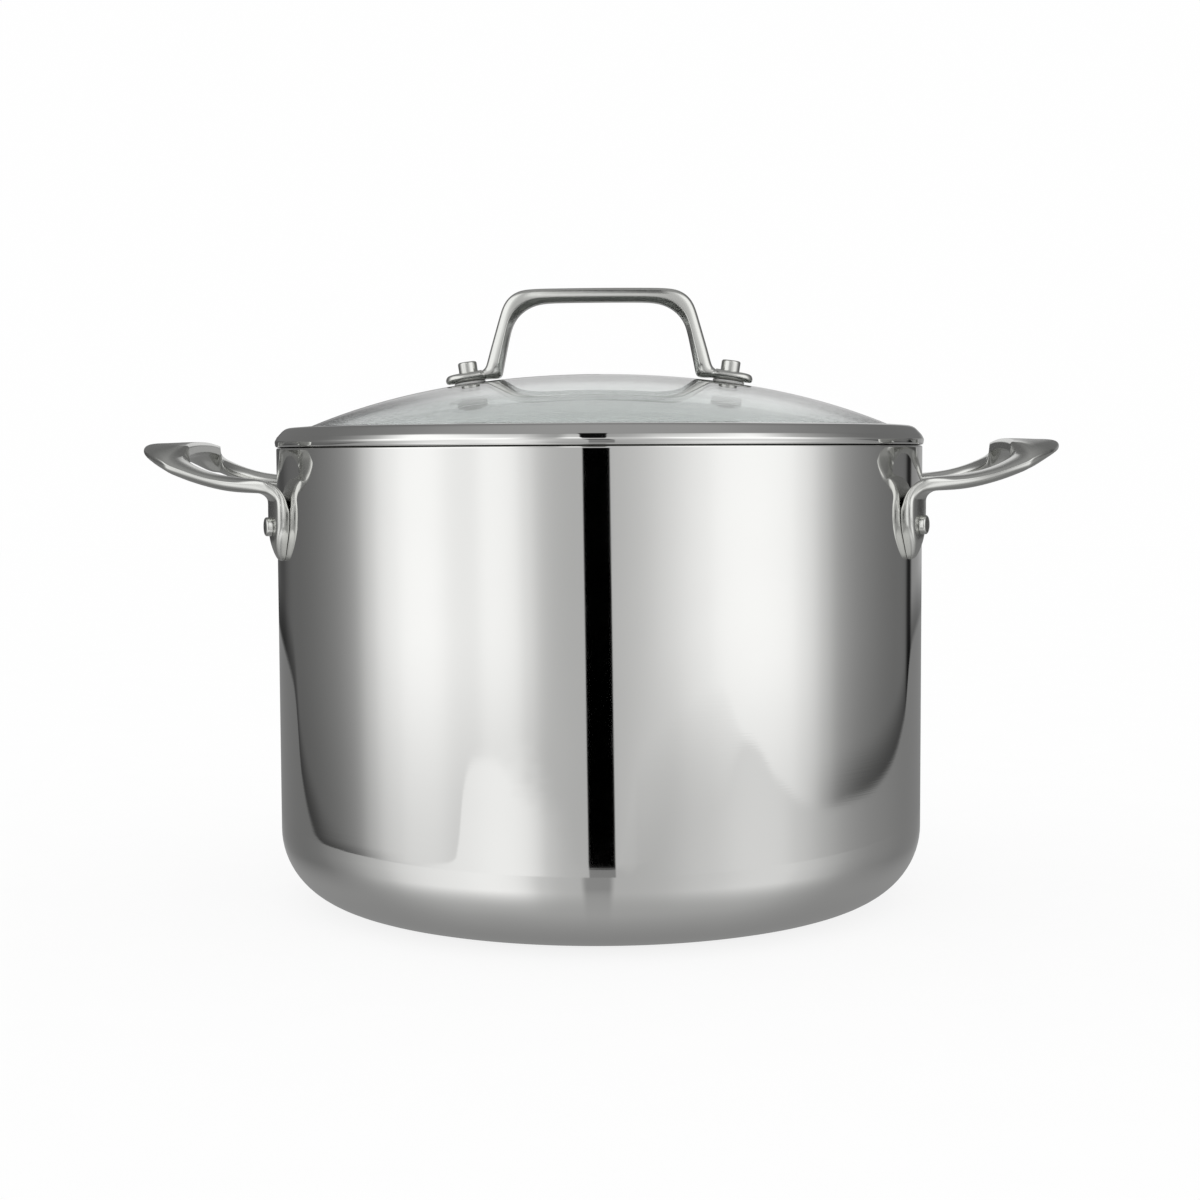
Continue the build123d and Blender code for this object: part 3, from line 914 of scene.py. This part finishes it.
# Ceiling, the card behind the pot, and the dark slit over the front of the pot, which is
# placed by direction (x to the right, y to the back, z up).
CEILING_HEIGHT = (25.0, 75.0)
CEILING_GREYS = (0.40, 0.56)
BACKDROP_HEIGHT = (40.0, 24.0)
BACKDROP_SIDES = (166.0, 173.0)
BACKDROP_GREY = 0.80
CEILING_FROM_FRONT = (44.0, 66.0)
CEILING_FROM_BEHIND = (1.0, 8.0)
SLIT_X = (-0.094, -0.086, 0.028, 0.036)
SLIT_Y = (-0.90, -0.82, -0.36, -0.30)
SLIT_Z = (0.3, 0.4)
SLIT_GREY = 0.08
GLASS_SEES_WHITE = (42.0, 28.0)

# Shade on the table: its size, and reaches from the pot's axis in metres.
SHADE_RADIUS = 0.245
SHADE_SIDES = 72
SHADE_DROP = 0.0002
UNDER_POT_REACH = (0.106, 0.130)
UNDER_POT_GREY = 0.50
FLANK_SIDES = (45.0, 95.0)
BESIDE_POT_GREYS = (0.59, 0.52)
OPEN_TABLE_REACH = (0.120, 0.170)
STRIP_EDGES = (1.0, 1.5)
STRIP_REACH = (0.112, 0.190)
STRIP_GREY = 0.78


def compass(points, scale=1.0):
    return [((angle + 180) / 360, value / scale) for angle, value in points]


def compass_angle(net, x, y):
    """Angle from the front of the pot, in degrees, positive to the right."""
    return net.times(net.math("ARCTAN2", x, net.times(y, -1.0)), 180 / math.pi)


def compass_share(net, turn, clamp=False):
    """Compass angle as a share of the whole circle."""
    return net.math("ADD", net.math("DIVIDE", turn, 360.0), 0.5, clamp=clamp)


def shown_grey(net, grey):
    """Strength of a light that shows as this grey in polished steel."""
    return net.math("DIVIDE", net.math("POWER", grey, 2.2), STEEL_GREY)


def studio_walls(net, turn, tilt, above, studio, gap):
    """Soft boxes and card that stand around the table."""
    aside = net.math("ABSOLUTE", turn)
    walls = net.times(studio, net.rest(gap))
    front = net.times(net.step(tilt, *FRONT_BOX_HEIGHT), net.step(aside, *FRONT_BOX_SIDES))
    walls = net.mix(front, walls, net.mix(net.step(turn, *FRONT_BOX_SPLIT), *FRONT_BOX_GREYS))
    dim = net.mix(net.step(aside, *DIM_SIDES), DIM_GREY, 1.0)
    walls = net.times(walls, net.mix(net.step(tilt, *DIM_HEIGHT), 1.0, dim))
    seam = net.times(net.step(above, *SEAM_ABOVE_EDGE), net.step(aside, *SEAM_SIDES), SEAM_DEPTH)
    return net.times(walls, net.rest(seam))


def studio_table(net, share, tilt, behind, studio, gap):
    """Table around the pot, and below it what steel that faces down mirrors."""
    near = net.math("MAXIMUM", net.math("POWER", studio, NEAR_CONTRAST), NEAR_LEAST_GREY)
    under = net.mix(net.math("MAXIMUM", behind, net.step(tilt, *UNDER_HEIGHT)), near, UNDER_GREY)
    table = net.mix(net.step(tilt, *TABLE_HEIGHT), net.curve(share, compass(TABLE)), under)
    streak = net.times(gap, net.step(tilt, *STREAK_HEIGHT))
    return net.times(table, net.mix(streak, 1.0, STREAK_GREY))


def ripple(net, turn, tilt):
    """Fine level ripples, around zero."""
    place = net.node("ShaderNodeCombineXYZ")
    net.put(place.inputs[0], net.times(turn, RIPPLES_PER_TURN))
    net.put(place.inputs[1], net.times(tilt, RIPPLES_PER_TILT))
    ripples = net.node("ShaderNodeTexNoise")
    net.put(ripples.inputs["Vector"], place.outputs[0])
    ripples.inputs["Scale"].default_value = 1.0
    return net.math("SUBTRACT", ripples.outputs[0], 0.5)


def studio_lower(net, turn, share, tilt, behind):
    """Walls and table, parted by the table's far edge."""
    studio = net.curve(share, compass(STUDIO))
    gap = net.window(turn, GAP_LEFT, GAP_LEFT + GAP_EDGE, GAP_RIGHT - GAP_EDGE, GAP_RIGHT)
    gap = net.times(gap, net.step(tilt, *GAP_TOP))
    edge = net.times(net.curve(share, compass(TABLE_EDGE, EDGE_DEPTH)), -EDGE_DEPTH)
    left_arch = net.window(turn, *LEFT_ARCH)
    right_arch = net.window(turn, *RIGHT_ARCH)
    wave = net.times(ripple(net, turn, tilt), net.times(left_arch, RIPPLE_HEIGHT))
    above = net.math("ADD", net.math("SUBTRACT", tilt, edge), wave)
    walls = studio_walls(net, turn, tilt, above, studio, gap)
    table = studio_table(net, share, tilt, behind, studio, gap)
    blur = net.mix(right_arch, net.mix(left_arch, EDGE_BLUR, LEFT_ARCH_BLUR), RIGHT_ARCH_BLUR)
    on_table = net.math("SUBTRACT", 0.5, net.math("DIVIDE", above, blur), clamp=True)
    lower = net.mix(on_table, walls, table)
    glow = net.times(net.step(tilt, *GLOW_HEIGHT), net.step(net.math("ABSOLUTE", turn), *GLOW_SIDES))
    return net.math("MINIMUM", net.times(lower, net.mix(glow, 1.0, GLOW)), 1.0)


def studio_ceiling(net, turn, tilt):
    ceiling = net.mix(net.step(tilt, *CEILING_HEIGHT), *CEILING_GREYS)
    behind_pot = net.step(net.math("ABSOLUTE", turn), *BACKDROP_SIDES)
    backdrop = net.times(behind_pot, net.step(tilt, *BACKDROP_HEIGHT))
    return net.mix(backdrop, ceiling, BACKDROP_GREY)


def studio_light():
    """World: plain white to the eye, and a ring of soft boxes to anything that mirrors."""
    world = bpy.data.worlds.new("studio")
    bpy.context.scene.world = world
    world.use_nodes = True
    net = Net(world.node_tree)
    way = net.node("ShaderNodeVectorRotate", rotation_type="Z_AXIS")
    net.put(way.inputs["Vector"], net.node("ShaderNodeTexCoord").outputs["Generated"])
    way.inputs["Angle"].default_value = -CAMERA_AZIMUTH
    parts = net.node("ShaderNodeSeparateXYZ")
    net.put(parts.inputs[0], way.outputs[0])
    x, y, z = parts.outputs
    tilt = net.times(net.math("ARCSINE", z), 180 / math.pi)
    lean = net.times(net.math("MAXIMUM", tilt, GAP_LEAN_FLOOR), GAP_LEAN)
    turn = net.math("ADD", compass_angle(net, x, y), lean)
    share = compass_share(net, turn)

    behind = net.step(net.math("ABSOLUTE", turn), *BEHIND_SIDES)
    lower = studio_lower(net, turn, share, tilt, behind)
    raised = net.mix(behind, net.step(tilt, *CEILING_FROM_FRONT), net.step(tilt, *CEILING_FROM_BEHIND))
    grey = net.mix(raised, lower, studio_ceiling(net, turn, tilt))
    slit = net.times(net.window(x, *SLIT_X), net.window(y, *SLIT_Y), net.step(z, *SLIT_Z))
    grey = net.mix(slit, grey, SLIT_GREY)

    ray = net.node("ShaderNodeLightPath").outputs
    through = ray["Is Transmission Ray"]
    seen = net.math("MAXIMUM", ray["Is Camera Ray"], net.times(through, net.step(tilt, *GLASS_SEES_WHITE)))
    mirrored = net.times(net.math("MAXIMUM", ray["Is Glossy Ray"], through), net.rest(seen))
    strength = net.mix(mirrored, PLAIN_WHITE, shown_grey(net, grey))
    ground = world.node_tree.nodes["Background"]
    net.put(ground.inputs["Strength"], strength)
    ground.inputs["Color"].default_value = (1, 1, 1, 1)


def make_table_shade():
    """The pot's own shade on the table, as its rounded lower corner mirrors it."""
    outline = arc((0, 0), SHADE_RADIUS, 0, 360 - 360 / SHADE_SIDES, SHADE_SIDES - 1)
    shade = new_object("table_shade", [(x, y, 0) for x, y in outline], [tuple(range(len(outline)))])
    shade.rotation_euler.z = CAMERA_AZIMUTH
    shade.location.z = -SHADE_DROP
    made, net, surface = new_material("table_shade")
    parts = net.node("ShaderNodeSeparateXYZ")
    net.put(parts.inputs[0], net.node("ShaderNodeTexCoord").outputs["Object"])
    x, y, _ = parts.outputs
    reach = net.math("SQRT", net.math("ADD", net.times(x, x), net.times(y, y)))
    spread = net.math("ADD", net.math("POWER", net.math("DIVIDE", POT_R, reach), 2.0), 1.0)
    turn = net.times(compass_angle(net, x, y), spread)
    flank = net.step(net.math("ABSOLUTE", turn), *FLANK_SIDES)
    beside_pot = net.mix(flank, *BESIDE_POT_GREYS)
    close = net.mix(net.step(reach, *UNDER_POT_REACH), UNDER_POT_GREY, beside_pot)
    open_table = net.curve(compass_share(net, turn, clamp=True), compass(TABLE))
    grey = net.mix(net.step(reach, *OPEN_TABLE_REACH), close, open_table)
    outside, inside = STRIP_EDGES
    strip = net.window(turn, GAP_LEFT - outside, GAP_LEFT + inside, GAP_RIGHT - inside, GAP_RIGHT + outside)
    strip = net.times(strip, net.step(reach, *STRIP_REACH))
    grey = net.times(grey, net.mix(strip, 1.0, STRIP_GREY))
    surface["Base Color"].default_value = (0, 0, 0, 1)
    surface["Specular IOR Level"].default_value = 0.0
    surface["Emission Color"].default_value = (1, 1, 1, 1)
    net.put(surface["Emission Strength"], shown_grey(net, grey))
    shade.data.materials.append(made)
    shade.visible_camera = False
    shade.visible_diffuse = False
    shade.visible_transmission = False
    shade.visible_shadow = False


make_floor()
make_table_shade()
make_camera()
studio_light()
bpy.context.scene.view_settings.view_transform = "Standard"
